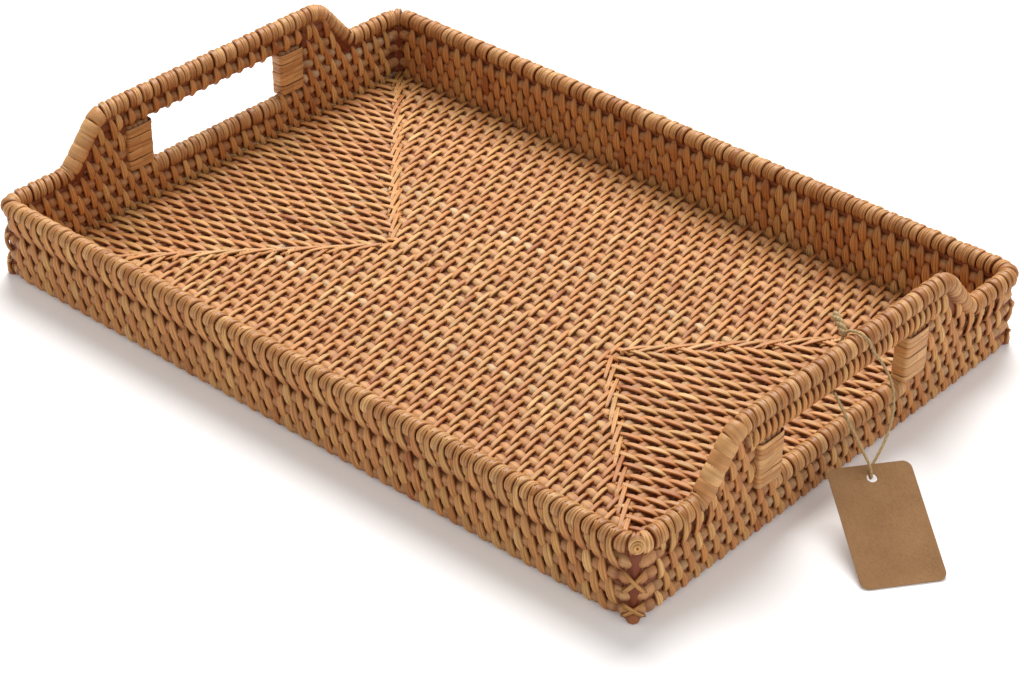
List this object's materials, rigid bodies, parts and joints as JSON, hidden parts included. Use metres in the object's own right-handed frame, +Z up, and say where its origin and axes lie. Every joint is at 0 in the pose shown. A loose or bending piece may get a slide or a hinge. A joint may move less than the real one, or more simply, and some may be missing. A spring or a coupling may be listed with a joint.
{
  "type": "serving tray",
  "caption": "Rectangular woven rattan serving tray with a low wall, a raised hand bar over an opening at each end, and a paper tag on a loop of twine.",
  "frame": {"origin": "middle of the underside, on the surface that the tray stands on", "axes": "+X along the tray towards the hand bar with the tag, +Y across it, +Z up"},
  "size_m": [0.4716, 0.2826, 0.0714],
  "materials": {
    "rattan_rod": "smooth peeled rattan core, lightly varnished",
    "rattan_wrap": "split rattan strand, satin",
    "cane_band": "flat cane peel, satin",
    "kraft_card": "matt brown kraft card",
    "jute_twine": "thin spun jute, matt"
  },
  "bodies": {
    "tray": {"back_rod_1": "rattan_rod", "back_rod_2": "rattan_rod", "back_rod_3": "rattan_rod", "back_rod_4": "rattan_rod", "corner_back_left": "rattan_rod", "corner_back_right": "rattan_rod", "corner_front_left": "rattan_rod", "corner_front_right": "rattan_rod", "floor_hoop_01": "rattan_rod", "floor_hoop_02": "rattan_rod", "floor_hoop_03": "rattan_rod", "floor_hoop_04": "rattan_rod", "floor_hoop_05": "rattan_rod", "floor_hoop_06": "rattan_rod", "floor_hoop_07": "rattan_rod", "floor_hoop_08": "rattan_rod", "floor_hoop_09": "rattan_rod", "floor_hoop_10": "rattan_rod", "floor_hoop_11": "rattan_rod", "floor_hoop_12": "rattan_rod", "floor_hoop_13": "rattan_rod", "floor_hoop_14": "rattan_rod", "floor_hoop_15": "rattan_rod", "floor_hoop_16": "rattan_rod", "front_rod_1": "rattan_rod", "front_rod_2": "rattan_rod", "front_rod_3": "rattan_rod", "front_rod_4": "rattan_rod", "left_hand_rail": "rattan_wrap", "left_panel_back": "rattan_rod", "left_panel_front": "rattan_rod", "left_post_back": "cane_band", "left_post_front": "cane_band", "left_rod_1": "rattan_rod", "left_rod_2": "rattan_rod", "left_rod_4_back": "rattan_rod", "left_rod_4_front": "rattan_rod", "left_sill": "rattan_wrap", "left_under_rod": "rattan_rod", "right_hand_rail": "rattan_wrap", "right_panel_back": "rattan_rod", "right_panel_front": "rattan_rod", "right_post_back": "cane_band", "right_post_front": "cane_band", "right_rod_1": "rattan_rod", "right_rod_2": "rattan_rod", "right_rod_4_back": "rattan_rod", "right_rod_4_front": "rattan_rod", "right_sill": "rattan_wrap", "right_under_rod": "rattan_rod", "rim_back": "rattan_wrap", "rim_front": "rattan_wrap", "twine_loop": "jute_twine"},
    "swing_tag": {"tag": "kraft_card", "twine_hanging": "jute_twine"}
  },
  "joints": [
    {"name": "tag_swing", "type": "hinge", "parent": "tray", "child": "swing_tag", "pos_m": [0.1989, -0.011, 0.0497], "axis": [-0.0619, -0.9089, -0.4123], "range_deg": [0, 100]}
  ]
}
